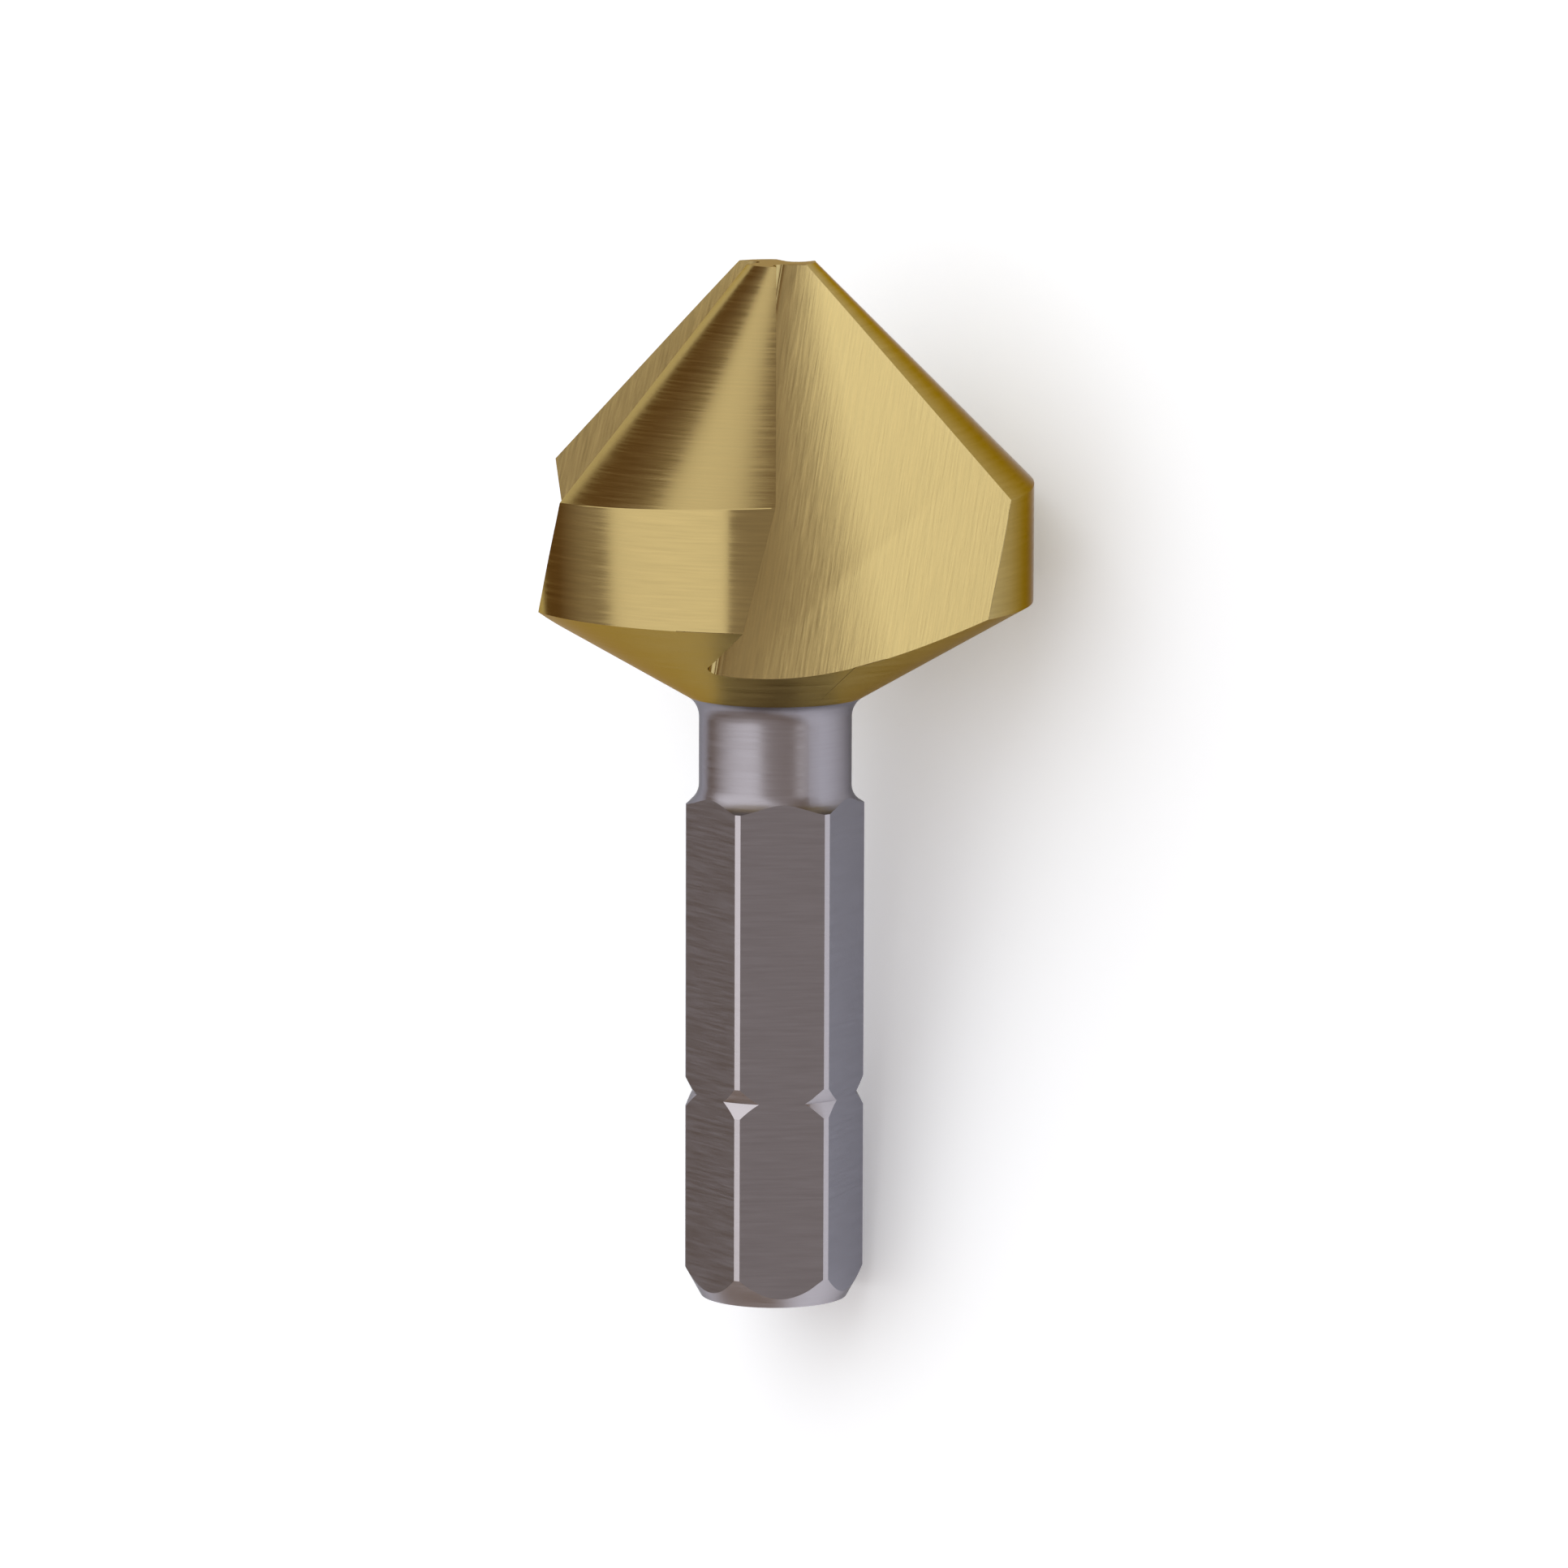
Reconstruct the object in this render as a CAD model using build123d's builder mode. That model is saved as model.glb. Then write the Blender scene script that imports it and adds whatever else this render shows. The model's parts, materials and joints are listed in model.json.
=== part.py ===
"""Countersink bit: three flutes, 90 degree point, hex shank.

One piece of high-speed steel.  It is turned to its profile, six flats are milled on
the shank, the cone is relieved behind each cutting edge and three flutes are ground.
It is drawn point up with the tip flat at Z = 0, then laid down as it comes to rest:
on two rim corners of the head, with a flute underneath, and on the end of the shank.
"""
import os
from math import atan2, cos, degrees, radians, sin, sqrt, tan

from build123d import *

os.makedirs("parts", exist_ok=True)

# ---- driving dimensions, millimetres and degrees ----
# head
head_dia = 20.5
tip_dia = 3.6
point_angle = 90.0           # included angle of the cone
margin_length = 4.95         # straight band below the cone
back_angle = 30.0            # slope of the back taper against a square shoulder
# flutes
flute_count = 3
rake_angle = 19.5            # hook of the cutting face, square to the edge
gullet_slope = 27.4          # gullet against the cutting edge, on the cutting face
gullet_angle = 68.5          # between the cutting face and the flute's floor
gullet_radius = 0.5
web_thickness = 1.15         # steel left between the flutes at the tip flat
relief_offset = 0.5          # how far off centre each land's cone is ground
# neck
neck_depth = 0.52            # below the turned corners of the hexagon
neck_length = 3.3
neck_fillet = 1.0            # into the back taper
run_out_radius = 0.85        # into the hexagon
# shank
hex_flats = 6.3              # across flats, the quarter-inch bit size
hex_length = 19.95
hex_turn = 5.6               # angle from the +X axis to a corner
corner_trim = 0.067          # turned off each sharp corner of the hexagon
end_chamfer_depth = 0.64
end_chamfer_length = 1.15
groove_from_end = 8.3        # middle of the notches in the hexagon's corners
groove_width = 1.18
groove_depth = 0.29          # below the turned corners

# ---- sizes that follow ----
overrun = 0.5                # how far a cutting shape runs past the steel
head_r = head_dia / 2
tip_r = tip_dia / 2
corner_r = hex_flats / sqrt(3) - corner_trim
neck_r = corner_r - neck_depth
end_r = corner_r - end_chamfer_depth
half_point = radians(point_angle / 2)
cone_height = (head_r - tip_r) / tan(half_point)
rim_z = -(cone_height + margin_length)
neck_top_z = rim_z - (head_r - neck_r) * tan(radians(back_angle))
neck_bottom_z = neck_top_z - neck_length
hex_top_z = neck_bottom_z - sqrt(run_out_radius**2 - (run_out_radius - neck_depth) ** 2)
end_z = hex_top_z - hex_length
groove_z = end_z + groove_from_end
land_pitch = 360 / flute_count


def polar(radius, angle):
    """A point at this radius and angle in degrees."""
    return (radius * cos(radians(angle)), radius * sin(radians(angle)))


# ---- stock ground off one land, whose cutting edge is at -90 degrees ----
relief_depth = cone_height + 2 * relief_offset
relief_r = relief_offset + tip_r + relief_depth * tan(half_point)
relief_top_r = relief_offset + tip_r - overrun * tan(half_point)
sector_start = -90 + land_pitch / 4

with BuildPart() as land_relief:
    with BuildSketch(Plane.XZ):
        with BuildLine():
            Polyline(
                (relief_top_r, overrun),
                (relief_r, -relief_depth),
                (relief_r, overrun),
                close=True,
            )
        make_face()
    revolve(axis=Axis((relief_offset, 0, 0), (0, 0, 1)))
    with BuildSketch(Plane.XY.offset(-relief_depth)):
        with BuildLine():
            Polyline(
                (0, 0),
                polar(2 * head_dia, sector_start),
                polar(2 * head_dia, sector_start - land_pitch / 2),
                polar(2 * head_dia, sector_start - land_pitch),
                close=True,
            )
        make_face()
    extrude(amount=relief_depth + overrun, mode=Mode.INTERSECT)

# ---- one flute: the cutting face and the floor, with a rounded gullet between ----
rake = radians(rake_angle)
cutting_face = Plane(
    origin=(0, -tip_r, 0),
    x_dir=(0, -sin(half_point), -cos(half_point)),
    z_dir=(cos(rake), sin(rake) * cos(half_point), -sin(rake) * sin(half_point)),
)
along_gullet = Plane(cutting_face.location * Rotation(0, 0, gullet_slope))
hook_at_tip = tan(rake) * cos(half_point) * (tip_r - web_thickness / 2)
across_gullet = Plane(
    origin=(-hook_at_tip, -web_thickness / 2, 0),
    x_dir=-along_gullet.y_dir,
    z_dir=along_gullet.x_dir,
)
flute_reach = 1.5 * head_dia

with BuildPart() as flute:
    with BuildSketch(across_gullet):
        with BuildLine():
            walls = FilletPolyline(
                (flute_reach, 0),
                (0, 0),
                polar(flute_reach, -gullet_angle),
                radius=gullet_radius,
            )
            Line(walls @ 1, walls @ 0)
        make_face()
    extrude(amount=flute_reach, both=True)

# ---- the bit, point up ----
with BuildPart() as upright:
    with BuildSketch(Plane.XZ) as turned:
        with BuildLine():
            Polyline(
                (neck_r, neck_bottom_z),
                (neck_r, neck_top_z),
                (head_r, rim_z),
                (head_r, -cone_height),
                (tip_r, 0),
                (0, 0),
                (0, end_z),
                (end_r, end_z),
                (corner_r, end_z + end_chamfer_length),
                (corner_r, hex_top_z),
            )
            RadiusArc((neck_r, neck_bottom_z), (corner_r, hex_top_z), -run_out_radius)
        make_face()
        neck_corner = turned.vertices().sort_by_distance((neck_r, neck_top_z))[0]
        fillet(neck_corner, neck_fillet)
    revolve(axis=Axis.Z)

    # flats of the hexagon, from the end up into the neck
    with BuildSketch(Plane.XY.offset(end_z)):
        Circle(2 * corner_r)
        RegularPolygon(
            hex_flats / 2, 6, major_radius=False, rotation=hex_turn, mode=Mode.SUBTRACT
        )
    extrude(amount=neck_bottom_z - end_z, mode=Mode.SUBTRACT)

    # V groove that notches the hexagon's corners
    with BuildSketch(Plane.XZ):
        with BuildLine():
            slope = 2 * groove_depth / groove_width
            Polyline(
                (corner_r - groove_depth, groove_z),
                (corner_r + overrun, groove_z + groove_width / 2 + overrun / slope),
                (corner_r + overrun, groove_z - groove_width / 2 - overrun / slope),
                close=True,
            )
        make_face()
    revolve(axis=Axis.Z, mode=Mode.SUBTRACT)

    with PolarLocations(0, flute_count):
        add(land_relief.part, mode=Mode.SUBTRACT)
    with PolarLocations(0, flute_count):
        add(flute.part, mode=Mode.SUBTRACT)

# ---- laid down: one flute underneath, head on two rim corners, end on the floor ----
flute_middle = Vector(*polar(head_r, -90 + land_pitch * 5 / 4), rim_z)
rim_corners = upright.vertices().sort_by_distance(flute_middle)[:2]
end_corners = [corner for corner in upright.vertices() if corner.Z < groove_z]
underside = sum((Vector(corner.X, corner.Y) for corner in rim_corners), Vector())
underside = underside.normalized()


def depth(corner):
    """How far a corner lies out towards the underside."""
    return underside.dot(Vector(corner.X, corner.Y))


rim_depth = depth(rim_corners[0])
tip_up = min(
    degrees(atan2(rim_depth - depth(corner), rim_z - corner.Z)) for corner in end_corners
)
spin = 90 - degrees(atan2(underside.Y, underside.X))
laid = Rotation(tip_up - 90, 0, spin) * upright.part
box = laid.bounding_box()

with BuildPart() as countersink_bit:
    with Locations((-box.center().X, -box.center().Y, -box.min.Z)):
        add(laid)

countersink_bit.part.label = "countersink_bit"
export_step(countersink_bit.part, "parts/countersink_bit.step")
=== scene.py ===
"""A countersink bit: ground, gold-coated head on a bare hexagon shank.

Laid out as an add-on: the panel lists one operator for the bit and one for the stage.
"""
import json
import math

import bmesh
import bpy
from bpy.props import (
    FloatProperty, FloatVectorProperty, IntProperty, PointerProperty, StringProperty,
)
from mathutils import Matrix, Vector


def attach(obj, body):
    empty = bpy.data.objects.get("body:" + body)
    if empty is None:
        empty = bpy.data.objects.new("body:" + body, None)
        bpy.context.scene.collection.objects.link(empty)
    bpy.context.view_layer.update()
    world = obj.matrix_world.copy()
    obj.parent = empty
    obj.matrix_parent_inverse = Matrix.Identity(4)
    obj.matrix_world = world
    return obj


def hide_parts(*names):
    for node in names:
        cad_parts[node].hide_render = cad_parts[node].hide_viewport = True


bl_info = {
    "name": "Countersink Bit",
    "version": (1, 0, 0),
    "blender": (4, 5, 0),
    "location": "View3D > Sidebar > Countersink",
    "description": "Builds a coated countersink bit and the stage it lies on",
    "category": "Object",
}

NODE = "countersink_bit"
MM = 0.001
UNDERSIDE = 53.62            # side of the bit that faces the floor, degrees from its own +X

# How finely the shape is drawn, and how far the cutters reach past the steel.
LAND_POINTS = 96             # points round each land, so 288 round a three-flute bit
LAND_RINGS = 12              # bands down each land
LAND_START, LAND_SWEEP = -176, 110   # degrees; a flute cuts what lies between two lands
FILLET_STEPS = 12            # facets of each arc of the neck
GULLET_STEPS = 16            # facets of the gullet
SIDES = 6                    # flats of the hexagon
FLAT_OVERRUN = 1             # mm past the end of the shank
FLUTE_REACH = 1.5            # head diameters, each way from the tip

# Which edges the stone breaks, which ones shade as one, and where the coating ends.
SHARP = 24                   # degrees between faces from which the stone breaks an edge
SHORTEST = 4                 # widths of the break; a shorter edge stays sharp
NARROWEST = 5                # widths of the break; an edge of a narrower face stays sharp
SMOOTH = 10                  # degrees between faces up to which they shade as one
ON_THE_LIMIT = 0.0005        # mm from the coating's limit within which a point is on it

# The surfaces of a bit, each with its own lie of the grinding marks.
LAND, RIM, TAPER, NECK, SHANK, END, FLAT, FLUTE, CUTTING = range(9)
# How far across the marks one step in height and one in radius take you: 1.41 on a
# 45 degree cone, 1.15 on a 30 degree taper.
PITCH = {LAND: (1.41, 0), RIM: (1, 0), TAPER: (0, 1.15), NECK: (1, 0), SHANK: (1, 0)}

# The finishes, in slot order, and the surfaces that take them above and below the
# coating's limit; every other surface is turned.
FLUTE_COAT_PAINTED_PALER, ROUND_COAT, TURNED_COAT, GROUND_FLAT, TURNED_STEEL, CORNER_PAINTED_LIGHTER = range(6)
COATED = {FLUTE: FLUTE_COAT_PAINTED_PALER, CUTTING: FLUTE_COAT_PAINTED_PALER, LAND: ROUND_COAT, RIM: ROUND_COAT}
BARE = {FLAT: GROUND_FLAT, SHANK: CORNER_PAINTED_LIGHTER}

# The grinding marks, and the hollow that the wheel leaves beside the gullet.
MARKS = {"Scale": 1.0, "Detail": 4.0, "Roughness": 0.62}   # of the noise that draws them
MARK_RANGE = (0.3, 0.7)      # of that noise, from the darkest marks to the lightest
MARK_DEPTH = 0.03            # mm at full strength
HOLLOW = {"lean": 9.5, "width": 1.9, "widening": 0.35}   # degrees, mm, mm per mm

# The stage, in metres, with turns in degrees about the way a softbox faces.
FLOOR_SIDE = 6
SOFTBOXES = {
    "overhead softbox": {"centre": (-0.184, 0.393, 0.40), "aim": (-0.184, 0.393, 0),
                         "turn": -20, "size": (0.916, 1.137)},
    "side softbox": {"centre": (0.50, -0.09, 0.12), "aim": (0, -0.09, 0.12),
                     "turn": 0, "size": (0.22, 0.16)},
}
NEAREST, FARTHEST = 0.01, 10   # what the camera sees lies between these
SENSOR = 36                  # mm
# Where the walls' colour ends and the ceiling's starts: sines of angles above the horizon.
WALL_TO_CEILING = (0.2, 0.5)

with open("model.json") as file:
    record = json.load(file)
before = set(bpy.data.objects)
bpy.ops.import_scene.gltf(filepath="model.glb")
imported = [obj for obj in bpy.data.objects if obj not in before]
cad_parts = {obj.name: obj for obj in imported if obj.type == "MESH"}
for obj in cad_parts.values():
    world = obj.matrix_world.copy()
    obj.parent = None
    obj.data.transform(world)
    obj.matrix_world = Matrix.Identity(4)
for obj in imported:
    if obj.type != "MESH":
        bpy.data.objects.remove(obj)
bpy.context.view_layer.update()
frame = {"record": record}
MOUNTS = {mount["name"]: mount for mount in frame["record"]["mounts"]}


# ---------------------------------------------------------------- sizes and colours


def linear(hex_colour):
    """An sRGB hex colour as linear red, green and blue, and full alpha."""
    parts = [int(hex_colour[i:i + 2], 16) / 255 for i in (1, 3, 5)]
    ramp = [c / 12.92 if c <= 0.04045 else ((c + 0.055) / 1.055) ** 2.4 for c in parts]
    return (*ramp, 1.0)


class BitSizes(bpy.types.PropertyGroup):
    """Sizes of the bit in millimetres and degrees, as its maker would state them."""

    head_dia: FloatProperty(name="Head", description="Over the straight rim", default=20.5)
    tip_dia: FloatProperty(name="Tip flat", description="Across the tip", default=3.6)
    point: FloatProperty(name="Point", description="Included angle, degrees", default=90.0)
    rim: FloatProperty(name="Rim", description="Straight band under the cone", default=4.95)
    back: FloatProperty(name="Back taper", description="Slope, degrees", default=30.0)
    rake: FloatProperty(name="Rake", description="Hook of the cutting face", default=19.5)
    gullet_slope: FloatProperty(name="Gullet slope", description="Against the edge", default=27.4)
    gullet_angle: FloatProperty(name="Gullet angle", description="Face to floor", default=68.5)
    gullet_radius: FloatProperty(name="Gullet radius", description="At its root", default=0.5)
    web: FloatProperty(name="Web", description="Steel between flutes at the tip", default=1.15)
    relief: FloatProperty(name="Relief", description="Off-centre grind of a land", default=0.5)
    flutes: IntProperty(name="Flutes", description="Number of cutting edges", default=3)
    flats: FloatProperty(name="Hexagon", description="Across the flats", default=6.3)
    hex_length: FloatProperty(name="Shank", description="Full hexagon length", default=19.95)
    hex_turn: FloatProperty(name="Hexagon turn", description="Corner from +X", default=5.6)
    corner_trim: FloatProperty(name="Corner trim", description="Turned off", default=0.067)
    neck_depth: FloatProperty(name="Neck depth", description="Below the corners", default=0.52)
    neck_length: FloatProperty(name="Neck", description="Its length", default=3.3)
    neck_fillet: FloatProperty(name="Neck fillet", description="Into the taper", default=1.0)
    run_out: FloatProperty(name="Run-out", description="Radius at the hexagon", default=0.85)
    chamfer_depth: FloatProperty(name="Chamfer depth", description="At the end", default=0.64)
    chamfer_length: FloatProperty(name="Chamfer length", description="At the end", default=1.15)
    groove_at: FloatProperty(name="Groove place", description="From the end", default=8.3)
    groove_width: FloatProperty(name="Groove width", description="At the corners", default=1.18)
    groove_depth: FloatProperty(name="Groove depth", description="At the corners", default=0.29)
    edge_break: FloatProperty(name="Edge break", description="Left by the stone", default=0.03)


def outline_of(size):
    """Radii, heights and the cone's half angle, from the sizes, with the tip flat at 0."""
    cone = math.radians(size.point / 2)
    head_r, tip_r = size.head_dia / 2, size.tip_dia / 2
    corner_r = size.flats / math.sqrt(3) - size.corner_trim
    neck_r = corner_r - size.neck_depth
    rim_z = -((head_r - tip_r) / math.tan(cone) + size.rim)
    neck_z = rim_z - (head_r - neck_r) * math.tan(math.radians(size.back))
    foot_z = neck_z - size.neck_length
    run_out_z = math.sqrt(size.run_out**2 - (size.run_out - size.neck_depth) ** 2)
    hex_z = foot_z - run_out_z
    return {
        "cone": cone, "head_r": head_r, "tip_r": tip_r, "corner_r": corner_r,
        "neck_r": neck_r, "rim_z": rim_z, "neck_z": neck_z, "foot_z": foot_z,
        "end_z": hex_z - size.hex_length, "end_r": corner_r - size.chamfer_depth,
    }


# ---------------------------------------------------------------- nodes


def add(tree, kind, links=None, values=None, **settings):
    """Adds a node: links maps its inputs to sockets, values sets inputs, settings its own."""
    node = tree.nodes.new(kind)
    for name, value in settings.items():
        setattr(node, name, value)
    for key, value in (values or {}).items():
        node.inputs[key].default_value = value
    for key, socket in (links or {}).items():
        tree.links.new(socket, node.inputs[key])
    return node


def ground_round_tree():
    """Takes copies of a cutting shape, spaced evenly round the axis, away from a body."""
    tree = bpy.data.node_groups.new("ground_round_the_axis", "GeometryNodeTree")
    for name, kind in (
        ("Body", "NodeSocketGeometry"), ("Cutter", "NodeSocketObject"),
        ("Count", "NodeSocketInt"), ("Finish", "NodeSocketMaterial"),
    ):
        tree.interface.new_socket(name, in_out="INPUT", socket_type=kind)
    tree.interface.new_socket("Body", in_out="OUTPUT", socket_type="NodeSocketGeometry")
    given = add(tree, "NodeGroupInput")
    cutter = add(tree, "GeometryNodeObjectInfo", {"Object": given.outputs["Cutter"]})
    places = add(tree, "GeometryNodePoints", {"Count": given.outputs["Count"]})
    step = add(tree, "ShaderNodeMath", {1: given.outputs["Count"]}, {0: 2 * math.pi},
               operation="DIVIDE")
    index = add(tree, "GeometryNodeInputIndex")
    angle = add(tree, "ShaderNodeMath", {0: index.outputs[0], 1: step.outputs[0]},
                operation="MULTIPLY")
    turn = add(tree, "ShaderNodeCombineXYZ", {"Z": angle.outputs[0]})
    copies = add(tree, "GeometryNodeInstanceOnPoints", {
        "Points": places.outputs[0], "Instance": cutter.outputs["Geometry"],
        "Rotation": turn.outputs[0],
    })
    solid = add(tree, "GeometryNodeRealizeInstances", {0: copies.outputs[0]})
    cut = add(tree, "GeometryNodeMeshBoolean",
              {"Mesh 1": given.outputs["Body"], "Mesh 2": solid.outputs[0]},
              operation="DIFFERENCE", solver="MANIFOLD")
    whole = add(tree, "GeometryNodeRealizeInstances", {0: cut.outputs[0]})
    finish = add(tree, "GeometryNodeSetMaterial",
                 {0: whole.outputs[0], "Material": given.outputs["Finish"]})
    add(tree, "NodeGroupOutput", {0: finish.outputs[0]})
    return tree


def grind(body, tree, name, cutter, count, finish):
    """Adds one round of cuts to the body as a modifier."""
    modifier = body.modifiers.new(name, "NODES")
    modifier.node_group = tree
    for label, value in (("Cutter", cutter), ("Count", count), ("Finish", finish)):
        modifier[tree.interface.items_tree[label].identifier] = value


# ---------------------------------------------------------------- the bit's shape


def arc(centre, radius, start, end, steps):
    """Points on an arc in the half plane of radius and height."""
    points = []
    for step in range(steps + 1):
        angle = math.radians(start + (end - start) * step / steps)
        points.append((centre[0] + radius * math.cos(angle),
                       centre[1] + radius * math.sin(angle)))
    return points


def coat_limit(size, outline):
    """Height of the coating's lower limit, where the taper runs into the neck."""
    return outline["neck_z"] + size.neck_fillet * (
        math.cos(math.radians(size.back)) - math.tan(math.radians(90 - size.back) / 2))


def turned_profile(size, outline):
    """The turned outline under the rim, as (radius, height, surface above it)."""
    neck_r, corner_r, end_z = outline["neck_r"], outline["corner_r"], outline["end_z"]
    tangent = size.neck_fillet * math.tan(math.radians(90 - size.back) / 2)
    fillet = arc((neck_r + size.neck_fillet, outline["neck_z"] - tangent),
                 size.neck_fillet, 90 + size.back, 180, FILLET_STEPS)
    sweep = math.degrees(math.acos(1 - size.neck_depth / size.run_out))
    run_out = arc((neck_r + size.run_out, outline["foot_z"]), size.run_out,
                  180, 180 + sweep, FILLET_STEPS)
    groove_z = end_z + size.groove_at
    shank = [
        (corner_r, groove_z + size.groove_width / 2),
        (corner_r - size.groove_depth, groove_z),
        (corner_r, groove_z - size.groove_width / 2),
        (corner_r, end_z + size.chamfer_length),
        (outline["end_r"], end_z),
    ]
    profile = [(*fillet[0], TAPER)] + [(*point, NECK) for point in fillet[1:] + run_out]
    return profile + [(*point, SHANK) for point in shank]


def land_ring(size, outline, share):
    """Points round the head at one share of the way down the relieved cones.

    Each land is a cone whose axis is set off towards its cutting edge, so the surface
    falls away behind the edge.  The step between two lands lies in a flute.
    """
    ring = []
    tip_r = outline["tip_r"]
    pitch = 360 / size.flutes
    for land in range(size.flutes):
        turn = Matrix.Rotation(math.radians(land * pitch), 3, "Z")
        for step in range(LAND_POINTS):
            theta = math.radians(LAND_START + LAND_SWEEP * step / (LAND_POINTS - 1))
            out = math.sqrt(outline["head_r"]**2 - (size.relief * math.sin(theta))**2)
            rim_radius = out - size.relief * math.cos(theta)
            radius = tip_r + share * (rim_radius - tip_r)
            ring.append(turn @ Vector((
                size.relief + radius * math.cos(theta), radius * math.sin(theta),
                -(radius - tip_r) / math.tan(outline["cone"]),
            )))
    return ring


def blank_mesh(size, outline):
    """The bit before its flats and flutes are cut, as rings joined by quads."""
    rings = [land_ring(size, outline, ring / LAND_RINGS) for ring in range(LAND_RINGS + 1)]
    kinds = [LAND] * LAND_RINGS
    angles = [math.atan2(point.y, point.x) for point in rings[-1]]
    profile = [(outline["head_r"], outline["rim_z"], RIM)] + turned_profile(size, outline)
    for radius, height, kind in profile:
        rings.append([Vector((radius * math.cos(a), radius * math.sin(a), height))
                      for a in angles])
        kinds.append(kind)
    shape = bmesh.new()
    surface = shape.faces.layers.int.new("surface")
    verts = [[shape.verts.new(point) for point in ring] for ring in rings]
    for upper, lower, kind in zip(verts, verts[1:], kinds):
        for i in range(len(upper)):
            j = (i + 1) % len(upper)
            shape.faces.new((upper[i], lower[i], lower[j], upper[j]))[surface] = kind
    shape.faces.new(verts[0])[surface] = END
    shape.faces.new(verts[-1])[surface] = END
    bmesh.ops.recalc_face_normals(shape, faces=shape.faces)
    return shape


def flute_frame(size, outline):
    """Origin and axes of a flute: along its cutting face, out of it, and down the gullet."""
    rake, cone = math.radians(size.rake), outline["cone"]
    edge = Vector((0, -math.sin(cone), -math.cos(cone)))
    face = Vector((math.cos(rake), math.sin(rake) * math.cos(cone),
                   -math.sin(rake) * math.sin(cone)))
    inward = face.cross(edge)
    slope = math.radians(size.gullet_slope)
    down = edge * math.cos(slope) + inward * math.sin(slope)
    across = edge * math.sin(slope) - inward * math.cos(slope)
    root_y = size.web / 2
    hook = math.tan(rake) * math.cos(cone) * (outline["tip_r"] - root_y)
    return Vector((-hook, -root_y, 0)), across, down.cross(across), down


def flute_mesh(size, outline):
    """A prism with the flute's section: cutting face, rounded gullet and floor."""
    origin, across, normal, down = flute_frame(size, outline)
    angle, reach = math.radians(size.gullet_angle), FLUTE_REACH * size.head_dia
    to_centre = size.gullet_radius / math.sin(angle / 2)
    centre = (to_centre * math.cos(angle / 2), -to_centre * math.sin(angle / 2))
    section = [(reach, 0)] + arc(centre, size.gullet_radius, 90,
                                 270 - size.gullet_angle, GULLET_STEPS)
    section.append((reach * math.cos(angle), -reach * math.sin(angle)))
    shape = bmesh.new()
    surface = shape.faces.layers.int.new("surface")
    ends = []
    for run in (-reach, reach):
        ends.append([shape.verts.new(origin + across * x + normal * y + down * run)
                     for x, y in section])
    for i in range(len(section)):
        j = (i + 1) % len(section)
        shape.faces.new((ends[0][i], ends[0][j], ends[1][j], ends[1][i]))
    shape.faces.new(ends[0])
    shape.faces.new(ends[1])
    for face in shape.faces:
        face[surface] = FLUTE
    shape.faces.ensure_lookup_table()
    shape.faces[0][surface] = CUTTING
    bmesh.ops.recalc_face_normals(shape, faces=shape.faces)
    return shape


def flat_mesh(size, outline):
    """A block that mills one flat of the hexagon."""
    shape = bmesh.new()
    surface = shape.faces.layers.int.new("surface")
    bmesh.ops.create_cube(shape, size=1)
    for face in shape.faces:
        face[surface] = FLAT
    low, high = outline["end_z"] - FLAT_OVERRUN, outline["foot_z"]
    thick = size.flats
    turn = Matrix.Rotation(math.radians(size.hex_turn + 180 / SIDES), 4, "Z")
    place = Matrix.Translation((size.flats / 2 + thick / 2, 0, (low + high) / 2))
    shape.transform(turn @ place @ Matrix.Diagonal((thick, 2 * thick, high - low, 1)))
    return shape


def as_object(shape, name):
    """A scene object from a bmesh, which is freed."""
    mesh = bpy.data.meshes.new(name)
    shape.to_mesh(mesh)
    shape.free()
    thing = bpy.data.objects.new(name, mesh)
    bpy.context.scene.collection.objects.link(thing)
    return thing


# ---------------------------------------------------------------- faces and their finish


def cut_bit(size, outline, finish):
    """The closed bit in millimetres: a turned blank with its flats and flutes cut."""
    body = as_object(blank_mesh(size, outline), "bit_blank")
    flat = as_object(flat_mesh(size, outline), "flat_cutter")
    flute = as_object(flute_mesh(size, outline), "flute_cutter")
    tree = ground_round_tree()
    grind(body, tree, "flats", flat, SIDES, finish)
    grind(body, tree, "flutes", flute, size.flutes, finish)
    bpy.context.view_layer.update()
    graph = bpy.context.evaluated_depsgraph_get()
    mesh = bpy.data.meshes.new_from_object(body.evaluated_get(graph))
    body.modifiers.clear()
    for spare in (body, flat, flute):
        bpy.data.objects.remove(spare)
    return mesh


def marks_at(point, normal, kind, gullets):
    """Where a point lies by the grinding marks, and the direction across them."""
    if kind in (FLUTE, CUTTING):
        along = min(gullets, key=lambda way: abs(way.dot(normal)))
    elif kind == FLAT:
        along = normal.cross(Vector((0, 0, 1)))
    elif kind == END:
        along = Vector((1, 0, 0))
    else:
        radius = math.hypot(point.x, point.y)
        across = normal.cross(Vector((-point.y, point.x, 0)) / radius)
        climb, spread = PITCH[kind]
        return Vector((point.x, point.y, climb * point.z + spread * radius)), across
    across = normal.cross(along)
    return Vector((point.dot(along), 0, point.dot(across))), across


def breakable(edge, surface, width, limit):
    """Whether the stone breaks an edge: sharp, coated, roomy and not a cutting edge."""
    sides = {face[surface] for face in edge.link_faces}
    if CUTTING in sides or min(vert.co.z for vert in edge.verts) < limit:
        return False
    # Where a flute, the rim and a land's heel meet, there is room for two breaks only.
    if sides == {FLUTE, RIM} and any(face[surface] == LAND for vert in edge.verts
                                     for face in vert.link_faces):
        return False
    if math.degrees(edge.calc_face_angle()) < SHARP:
        return False
    if edge.calc_length() < SHORTEST * width:
        return False
    narrowest = NARROWEST * width
    return all(
        face.calc_area() > narrowest * max(side.calc_length() for side in face.edges)
        for face in edge.link_faces)


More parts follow.
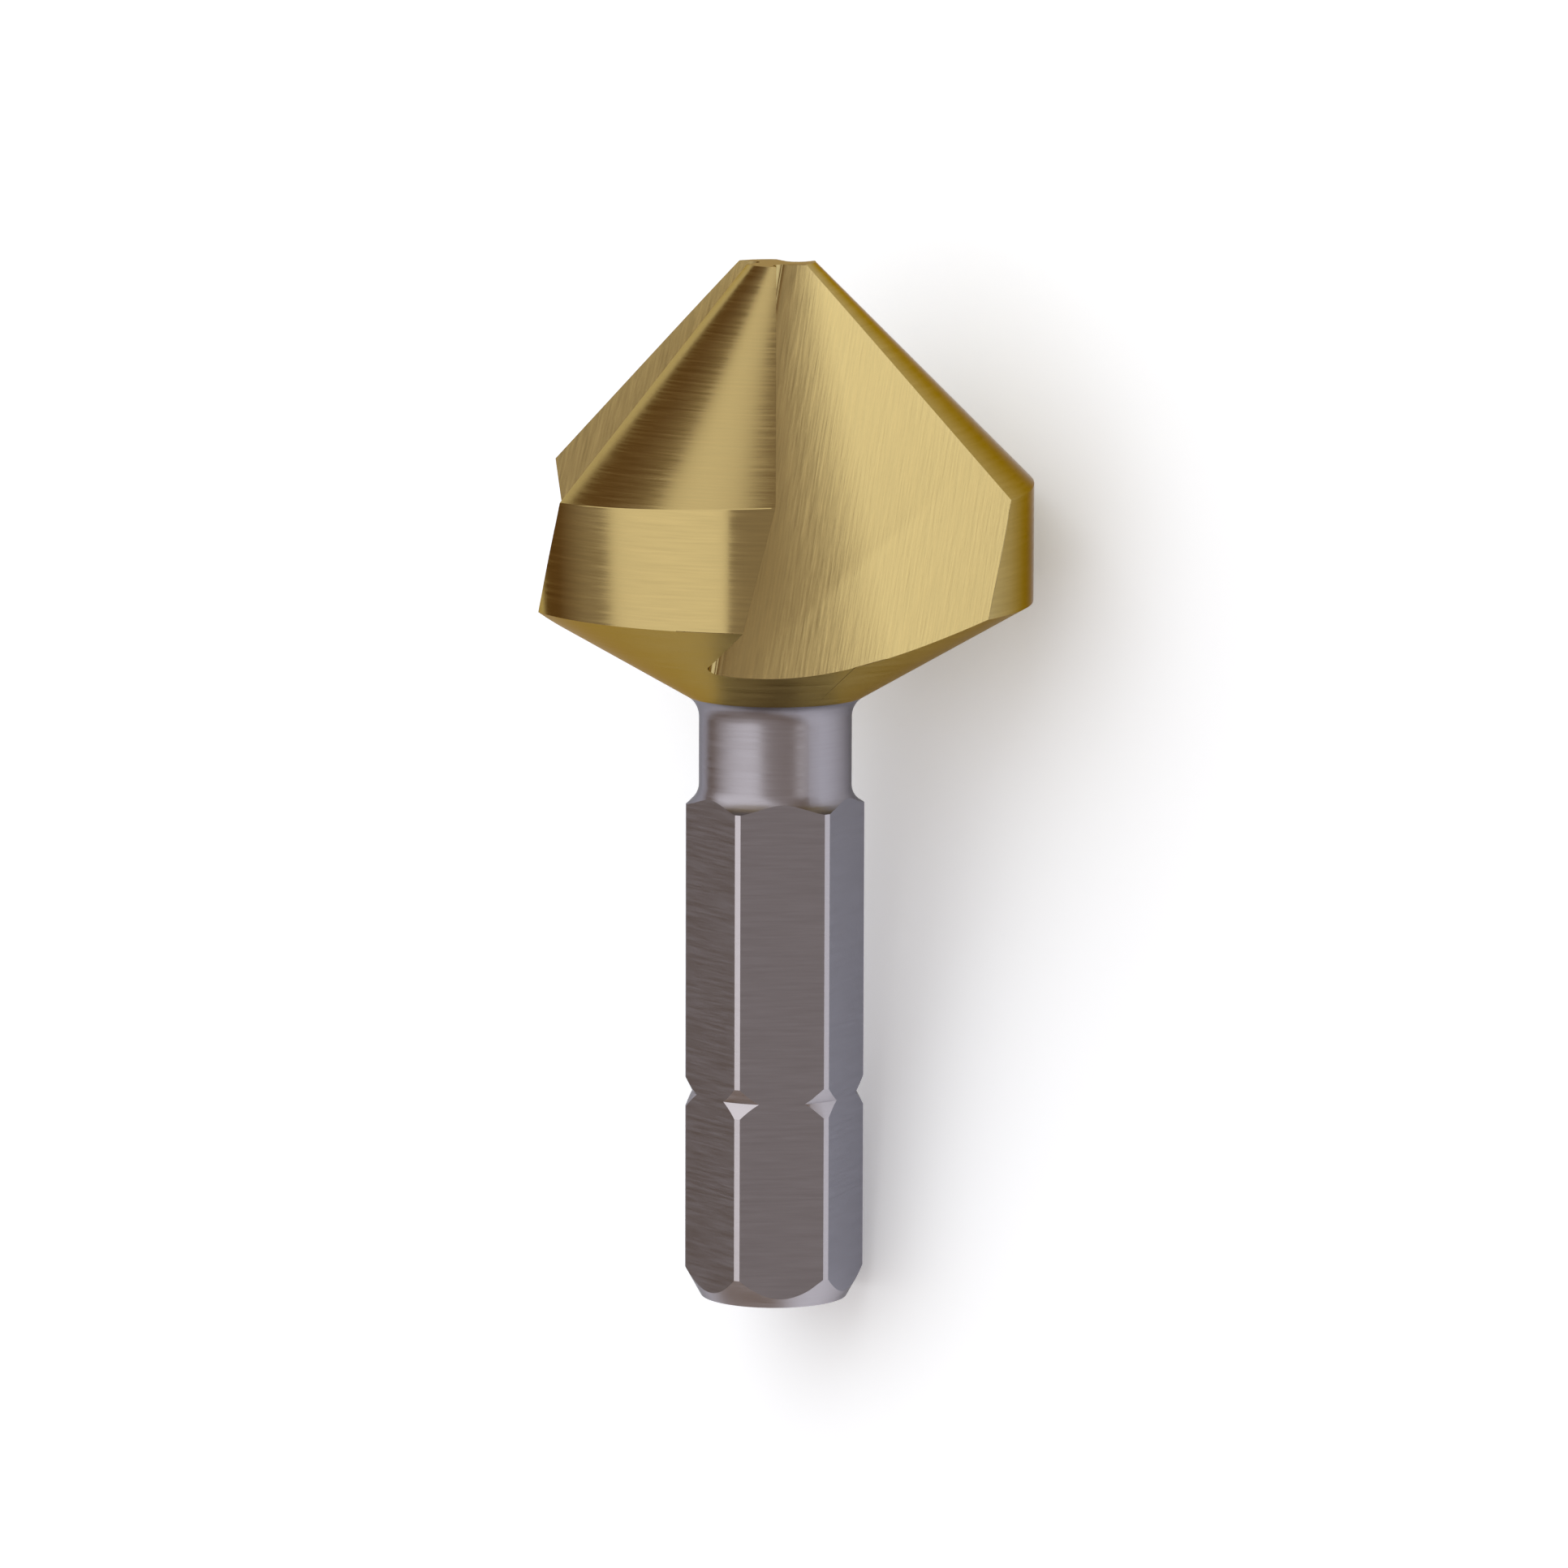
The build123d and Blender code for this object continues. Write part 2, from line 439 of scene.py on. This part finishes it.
def finish_faces(mesh, size, outline, place):
    """Broken edges, finishes, grinding marks and soft shading of the cut bit, in its place."""
    limit = coat_limit(size, outline)
    shape = bmesh.new()
    shape.from_mesh(mesh)
    bmesh.ops.remove_doubles(shape, verts=shape.verts, dist=size.edge_break / 2)
    surface = shape.faces.layers.int["surface"]
    edges = [edge for edge in shape.edges
             if breakable(edge, surface, size.edge_break, limit)]
    bmesh.ops.bevel(shape, geom=edges, offset=size.edge_break, offset_type="WIDTH",
                    segments=1, profile=0.5, affect="EDGES", clamp_overlap=False,
                    loop_slide=True, material=-1)
    bmesh.ops.bisect_plane(
        shape, geom=shape.verts[:] + shape.edges[:] + shape.faces[:],
        dist=ON_THE_LIMIT, plane_co=(0, 0, limit), plane_no=(0, 0, 1))
    marks = shape.loops.layers.float_vector.new("marks")
    across = shape.loops.layers.float_vector.new("across")
    down = flute_frame(size, outline)[3]
    gullets = [Matrix.Rotation(2 * math.pi * k / size.flutes, 3, "Z") @ down
               for k in range(size.flutes)]
    turn = place.to_3x3().normalized()
    shape.normal_update()
    for face in shape.faces:
        kind = face[surface]
        if face.calc_center_median().z > limit:
            face.material_index = COATED.get(kind, TURNED_COAT)
        else:
            face.material_index = BARE.get(kind, TURNED_STEEL)
        for loop in face.loops:
            point, way = marks_at(loop.vert.co, face.normal, kind, gullets)
            loop[marks], loop[across] = point, turn @ way
    shape.faces.layers.int.remove(surface)
    shape.transform(place)
    shape.to_mesh(mesh)
    shape.free()
    mesh.shade_smooth()
    mesh.set_sharp_from_angle(angle=math.radians(SMOOTH))


def lying_down(size):
    """From the bit's own frame, in millimetres, to where it lies, in metres."""
    mount = MOUNTS["shank_end"]
    end, tip_way = Vector(mount["pos_m"]), -Vector(mount["axis"]).normalized()
    down = Vector((0, 0, -1))
    under = (down - tip_way * tip_way.dot(down)).normalized()
    side = tip_way.cross(under)
    underside = math.radians(UNDERSIDE)
    x_way = under * math.cos(underside) - side * math.sin(underside)
    y_way = tip_way.cross(x_way)
    turn = Matrix((x_way, y_way, tip_way)).transposed().to_4x4()
    tip = end - tip_way * (outline_of(size)["end_z"] * MM)
    return Matrix.Translation(tip) @ turn @ Matrix.Scale(MM, 4)


# ---------------------------------------------------------------- materials


def hollow_normal(tree, marks):
    """The slight hollow that the wheel leaves beside the gullet, wider further down."""
    place = add(tree, "ShaderNodeSeparateXYZ", {0: marks.outputs["Vector"]})
    width = add(tree, "ShaderNodeMath", {0: place.outputs["X"]},
                {1: HOLLOW["widening"], 2: HOLLOW["width"]}, operation="MULTIPLY_ADD")
    share = add(tree, "ShaderNodeMath", {0: place.outputs["Z"], 1: width.outputs[0]},
                operation="DIVIDE", use_clamp=True)
    left = add(tree, "ShaderNodeMath", {1: share.outputs[0]}, {0: 1.0},
               operation="SUBTRACT")
    square = add(tree, "ShaderNodeMath", {0: left.outputs[0], 1: left.outputs[0]},
                 operation="MULTIPLY")
    rise = add(tree, "ShaderNodeMath", {0: square.outputs[0], 1: width.outputs[0]},
               operation="MULTIPLY")
    # The square falls 2 mm per mm beside the gullet, so half the lean is its slope there.
    lean = math.radians(HOLLOW["lean"]) / 2 * MM
    return add(tree, "ShaderNodeBump", {"Height": rise.outputs[0]},
               {"Strength": 1.0, "Distance": lean})


def ground_steel(name, colour, edge, roughness, tones, stretch, depth, lean, hollow=False):
    """Steel with marks that the wheel or tool left.

    tones is the shade of the darkest and lightest marks, stretch how many of them fit in a
    millimetre along, round and across them, depth how strongly they catch the light and
    lean how far highlights spread across them.  hollow adds the flute's slight hollow.
    """
    material = bpy.data.materials.new(name)
    material.use_nodes = True
    tree = material.node_tree
    tree.nodes.clear()
    marks = add(tree, "ShaderNodeAttribute", attribute_name="marks")
    across = add(tree, "ShaderNodeAttribute", attribute_name="across")
    lie = add(tree, "ShaderNodeMapping", {"Vector": marks.outputs["Vector"]},
              {"Scale": stretch})
    lines = add(tree, "ShaderNodeTexNoise", {"Vector": lie.outputs[0]}, MARKS)
    dull = add(tree, "ShaderNodeMapRange", {"Value": lines.outputs["Fac"]},
               {"From Min": MARK_RANGE[0], "From Max": MARK_RANGE[1],
                "To Min": roughness[0], "To Max": roughness[1]})
    tone = add(tree, "ShaderNodeValToRGB", {0: lines.outputs["Fac"]})
    for stop, place, share in zip(tone.color_ramp.elements, MARK_RANGE, tones):
        stop.position = place
        stop.color = (*(c * share for c in linear(colour)[:3]), 1)
    groove = add(tree, "ShaderNodeBump", {"Height": lines.outputs["Fac"]},
                 {"Strength": depth, "Distance": MARK_DEPTH * MM})
    if hollow:
        tree.links.new(hollow_normal(tree, marks).outputs[0], groove.inputs["Normal"])
    shader = add(tree, "ShaderNodeBsdfPrincipled", {
        "Roughness": dull.outputs[0], "Normal": groove.outputs[0],
        "Tangent": across.outputs["Vector"], "Base Color": tone.outputs["Color"],
    }, {"Metallic": 1.0, "Anisotropic": lean, "Specular Tint": linear(edge)})
    add(tree, "ShaderNodeOutputMaterial", {"Surface": shader.outputs[0]})
    return material


def bit_materials(looks):
    """The six finishes of the bit, in slot order."""
    # Real grinding marks are a few thousandths of a millimetre wide; these are drawn
    # coarser, about a tenth of a millimetre, so that they show at this picture size.
    return [
        # The wheel runs down the flute: long streaks, and highlights drawn out sideways. Its
        # gold is drawn paler than the lands', a painted highlight for the light that it faces.
        ground_steel("Titanium nitride on steel, flute ground lengthwise",
                     looks.flute, looks.coat_edge, roughness=(0.13, 0.24),
                     tones=(0.85, 1.09), stretch=(0.45, 0.45, 9.0), depth=0.11, lean=0.5,
                     hollow=True),
        # The lands and rim are ground round the axis, so fine rings cross the light.
        ground_steel("Titanium nitride on steel, ground round",
                     looks.coat, looks.coat_edge, roughness=(0.11, 0.20),
                     tones=(0.90, 1.06), stretch=(0.3, 0.3, 9.0), depth=0.02, lean=0.5),
        # The back taper and the tip are only turned: duller, with blurred reflections.
        ground_steel("Titanium nitride on steel, turned",
                     looks.coat, looks.coat_edge, roughness=(0.30, 0.42),
                     tones=(0.94, 1.05), stretch=(0.3, 0.3, 8.0), depth=0.08, lean=0.4),
        # The hexagon is ground across, which leaves a dull, faintly lined grey.
        ground_steel("High-speed steel, flats ground",
                     looks.steel, looks.steel_edge, roughness=(0.28, 0.42),
                     tones=(0.93, 1.05), stretch=(0.4, 0.4, 8.0), depth=0.12, lean=0.4),
        # The neck and the end are turned, with close rings and soft highlights.
        ground_steel("High-speed steel, turned",
                     looks.turned, looks.steel_edge, roughness=(0.30, 0.44),
                     tones=(0.94, 1.05), stretch=(0.3, 0.3, 8.0), depth=0.10, lean=0.5),
        # The corners, their notches and the chamfer are turned last, with a keen tool, and
        # are smoother; their steel is also drawn lighter than the rest, a painted highlight.
        ground_steel("High-speed steel, corners turned, painted lighter",
                     looks.bright, looks.steel_edge, roughness=(0.26, 0.38),
                     tones=(0.96, 1.04), stretch=(0.3, 0.3, 8.0), depth=0.05, lean=0.5),
    ]


def floor_material(looks):
    """A matt board that shows white to the eye and in the steel."""
    # Painted board has no gloss, so it only takes the bit's soft shadow.
    material = bpy.data.materials.new("Matt white board")
    material.use_nodes = True
    tree = material.node_tree
    tree.nodes.clear()
    board = add(tree, "ShaderNodeBsdfDiffuse", values={"Color": linear(looks.board)})
    ray = add(tree, "ShaderNodeLightPath")
    seen = add(tree, "ShaderNodeMath", {0: ray.outputs["Is Camera Ray"],
                                        1: ray.outputs["Is Glossy Ray"]}, operation="MAXIMUM")
    seen = add(tree, "ShaderNodeMath", {0: seen.outputs[0],
                                        1: ray.outputs["Is Transmission Ray"]},
               operation="MAXIMUM")
    lift = add(tree, "ShaderNodeMath", {0: seen.outputs[0]}, {1: looks.lift},
               operation="MULTIPLY")
    glow = add(tree, "ShaderNodeEmission", {"Strength": lift.outputs[0]})
    both = add(tree, "ShaderNodeAddShader", {0: board.outputs[0], 1: glow.outputs[0]})
    add(tree, "ShaderNodeOutputMaterial", {"Surface": both.outputs[0]})
    return material


# ---------------------------------------------------------------- stage


class StageLooks(bpy.types.PropertyGroup):
    """Colours of the bit and the light and camera it is shown with."""

    coat: StringProperty(name="Coating", description="Titanium nitride gold", default="#A99767")
    # The flute's gold is the same coating drawn paler than the lands', a painted highlight.
    flute: StringProperty(name="Flute coating", description="Same gold on finer ground steel",
                          default="#C1AF7A")
    coat_edge: StringProperty(name="Coating edge-on", description="Tint of the gold seen flat",
                              default="#BAA07C")
    steel: StringProperty(name="Steel", description="Dull ground flats", default="#9897A1")
    turned: StringProperty(name="Neck", description="Turned steel", default="#9E9BA4")
    # The corners are the same steel drawn lighter than the flats and neck, a painted highlight.
    bright: StringProperty(name="Corners", description="Bright turned steel", default="#AFABB2")
    steel_edge: StringProperty(name="Steel edge-on", description="Tint of the steel seen flat",
                               default="#A8A8A8")
    board: StringProperty(name="Floor", description="Matt white board", default="#F0F6FF")
    lift: FloatProperty(name="Floor lift", description="Glow added for the eye", default=0.25)
    key: FloatProperty(name="Key", description="Brightness of the softboxes", default=1.08)
    key_colour: StringProperty(name="Key colour", description="Daylight", default="#FBFFFF")
    ceiling: StringProperty(name="Ceiling", description="Warm and pale", default="#BAADA3")
    wall: StringProperty(name="Walls", description="Brown, darker than the ceiling",
                         default="#846849")
    distance: FloatProperty(name="Camera distance", description="From the middle of the bit",
                            default=0.40429, unit="LENGTH")
    lens: FloatProperty(name="Lens", description="Focal length, mm", default=232.8)
    aim: FloatVectorProperty(name="Aim", description="Point looked at, mm, in the bit's frame",
                             default=(0.352, -0.134, -20.856), size=3)
    view: FloatVectorProperty(name="View", description="Way to the camera, in the bit's frame",
                              default=(0.0, -0.988, 0.155), size=3)
    roll: FloatProperty(name="Roll", description="Turn of the picture, degrees", default=0.18)


def softbox(looks, name, centre, aim, turn, size):
    """A softbox at a place, facing a point and turned about the way it faces."""
    lamp = bpy.data.lights.new(name, "AREA")
    lamp.shape = "RECTANGLE"
    lamp.size, lamp.size_y = size
    # A box of any size then shines as brightly as looks.key says.
    lamp.energy = looks.key * math.pi * size[0] * size[1]
    lamp.color = linear(looks.key_colour)[:3]
    holder = bpy.data.objects.new(name, lamp)
    bpy.context.scene.collection.objects.link(holder)
    back = Vector(centre) - Vector(aim)
    facing = back.to_track_quat("Z", "Y").to_matrix().to_4x4()
    holder.matrix_world = (Matrix.Translation(centre) @ facing
                           @ Matrix.Rotation(math.radians(turn), 4, "Z"))


def room(looks):
    """The plain room round the stage: brown walls that pass into a paler ceiling."""
    world = bpy.data.worlds.new("room")
    world.use_nodes = True
    tree = world.node_tree
    tree.nodes.clear()
    way = add(tree, "ShaderNodeTexCoord")
    height = add(tree, "ShaderNodeSeparateXYZ", {0: way.outputs["Generated"]})
    light = add(tree, "ShaderNodeValToRGB", {0: height.outputs["Z"]})
    for stop, place, colour in zip(light.color_ramp.elements, WALL_TO_CEILING,
                                   (looks.wall, looks.ceiling)):
        stop.position, stop.color = place, linear(colour)
    shine = add(tree, "ShaderNodeBackground", {"Color": light.outputs["Color"]})
    add(tree, "ShaderNodeOutputWorld", {"Surface": shine.outputs[0]})
    return world


def set_camera(looks, place):
    """The camera at the viewing angle that the bit is shown from."""
    data = bpy.data.cameras.new("view")
    data.sensor_width, data.lens = SENSOR, looks.lens
    data.clip_start, data.clip_end = NEAREST, FARTHEST
    camera = bpy.data.objects.new("view", data)
    bpy.context.scene.collection.objects.link(camera)
    turn = place.to_3x3().normalized()
    back = (turn @ Vector(looks.view)).normalized()
    up = turn @ Vector((0, 0, 1))
    right = up.cross(back).normalized()
    up = back.cross(right)
    roll = Matrix.Rotation(math.radians(looks.roll), 3, back)
    axes = Matrix((roll @ right, roll @ up, back)).transposed().to_4x4()
    camera.matrix_world = Matrix.Translation(
        place @ Vector(looks.aim) + back * looks.distance) @ axes
    bpy.context.scene.camera = camera


class BIT_OT_build(bpy.types.Operator):
    """Build the countersink bit"""

    bl_idname = "bit.build"
    bl_label = "Countersink bit"

    def execute(self, context):
        size = context.scene.bit_sizes
        outline = outline_of(size)
        finishes = bit_materials(context.scene.bit_looks)
        mesh = cut_bit(size, outline, finishes[FLUTE_COAT_PAINTED_PALER])
        mesh.materials.clear()
        for finish in finishes:
            mesh.materials.append(finish)
        finish_faces(mesh, size, outline, lying_down(size))
        bit = bpy.data.objects.new("countersink_bit_ground", mesh)
        context.scene.collection.objects.link(bit)
        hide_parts(NODE)
        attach(bit, "root")
        return {"FINISHED"}


class BIT_OT_stage(bpy.types.Operator):
    """Lay out the floor, the lamps and the camera"""

    bl_idname = "bit.stage"
    bl_label = "Stage"

    def execute(self, context):
        looks = context.scene.bit_looks
        bpy.ops.mesh.primitive_plane_add(size=FLOOR_SIDE)
        floor = context.object
        floor.name = "floor"
        floor.data.materials.append(floor_material(looks))
        for name, place in SOFTBOXES.items():
            softbox(looks, name, **place)
        context.scene.world = room(looks)
        context.scene.view_settings.view_transform = "Standard"
        set_camera(looks, lying_down(context.scene.bit_sizes))
        return {"FINISHED"}


class BIT_PT_panel(bpy.types.Panel):
    """The bit's operators, sizes and looks"""

    bl_label = "Countersink bit"
    bl_idname = "BIT_PT_panel"
    bl_space_type = "VIEW_3D"
    bl_region_type = "UI"
    bl_category = "Countersink"

    def draw(self, context):
        for operator in (BIT_OT_build, BIT_OT_stage):
            self.layout.operator(operator.bl_idname)
        for group in (context.scene.bit_sizes, context.scene.bit_looks):
            for name in group.__annotations__:
                self.layout.prop(group, name)


CLASSES = (BitSizes, StageLooks, BIT_OT_build, BIT_OT_stage, BIT_PT_panel)


def register():
    for cls in CLASSES:
        bpy.utils.register_class(cls)
    bpy.types.Scene.bit_sizes = PointerProperty(type=BitSizes)
    bpy.types.Scene.bit_looks = PointerProperty(type=StageLooks)


def unregister():
    del bpy.types.Scene.bit_looks
    del bpy.types.Scene.bit_sizes
    for cls in reversed(CLASSES):
        bpy.utils.unregister_class(cls)


def main():
    """Builds the bit and its stage."""
    register()
    bpy.ops.bit.build()
    bpy.ops.bit.stage()
    bpy.context.view_layer.update()


if __name__ == "__main__":
    main()
